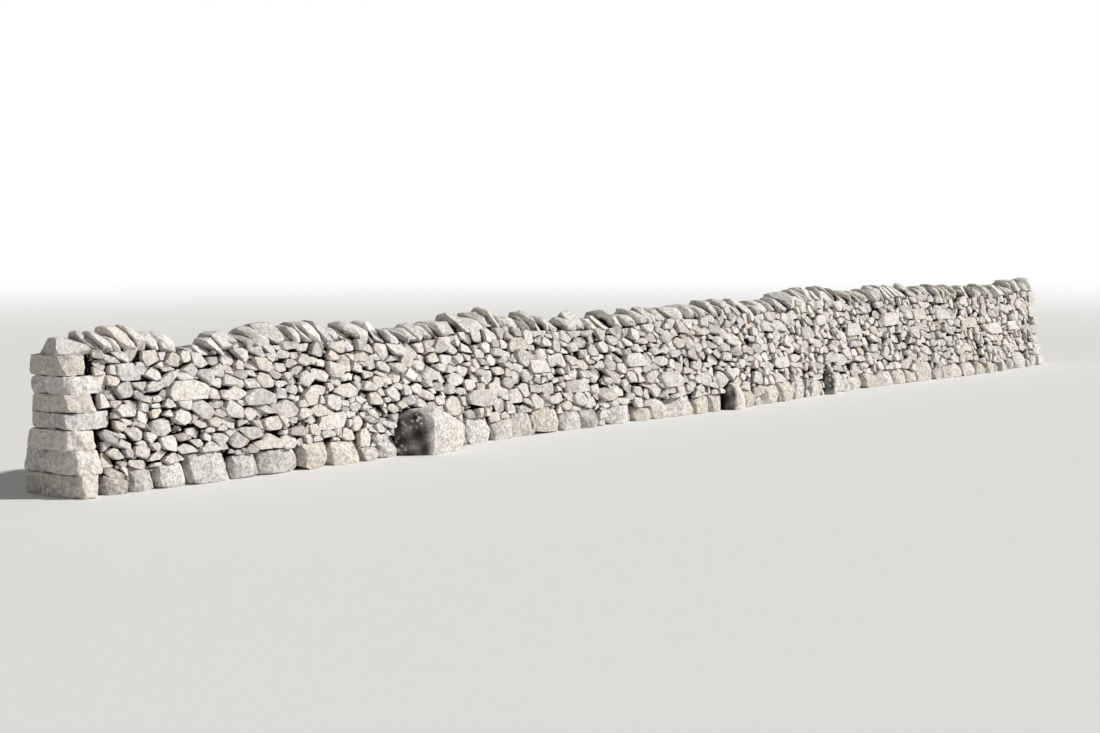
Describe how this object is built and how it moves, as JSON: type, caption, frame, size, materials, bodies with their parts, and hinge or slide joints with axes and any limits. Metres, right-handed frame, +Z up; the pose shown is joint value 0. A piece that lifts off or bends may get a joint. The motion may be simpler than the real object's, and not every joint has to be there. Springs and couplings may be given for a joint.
{
  "type": "dry stone wall",
  "caption": "Dry stone field wall of pale limestone rubble: two battered faces on footings, hearting between them, and a leaning cope along the top.",
  "frame": {"origin": "on the ground, at the middle of the wall's length, within its width", "axes": "+X along the wall to the far end, -Y out of the near face, +Z up"},
  "size_m": [19.2, 1.1475, 1.4379],
  "materials": {
    "footing_stone": "rough",
    "face_stone": "rough",
    "hearting_stone": "rough",
    "cope_stone": "rough",
    "head_stone": "rough",
    "boulder_stone": "rough"
  },
  "bodies": {
    "root": {"footing_front_1": "footing_stone", "footing_back_1": "footing_stone", "face_front_1": "face_stone", "face_back_1": "face_stone", "hearting_1": "hearting_stone", "cope_1": "cope_stone", "footing_front_2": "footing_stone", "footing_back_2": "footing_stone", "face_front_2": "face_stone", "face_back_2": "face_stone", "hearting_2": "hearting_stone", "cope_2": "cope_stone", "footing_front_3": "footing_stone", "footing_back_3": "footing_stone", "face_front_3": "face_stone", "face_back_3": "face_stone", "hearting_3": "hearting_stone", "cope_3": "cope_stone", "footing_front_4": "footing_stone", "footing_back_4": "footing_stone", "face_front_4": "face_stone", "face_back_4": "face_stone", "hearting_4": "hearting_stone", "cope_4": "cope_stone", "footing_front_5": "footing_stone", "footing_back_5": "footing_stone", "face_front_5": "face_stone", "face_back_5": "face_stone", "hearting_5": "hearting_stone", "cope_5": "cope_stone", "footing_front_6": "footing_stone", "footing_back_6": "footing_stone", "face_front_6": "face_stone", "face_back_6": "face_stone", "hearting_6": "hearting_stone", "cope_6": "cope_stone", "large_front": "face_stone", "large_back": "face_stone", "head_start": "head_stone", "head_end": "head_stone", "boulder_1": "boulder_stone", "boulder_2": "boulder_stone", "boulder_3": "boulder_stone"}
  },
  "joints": []
}
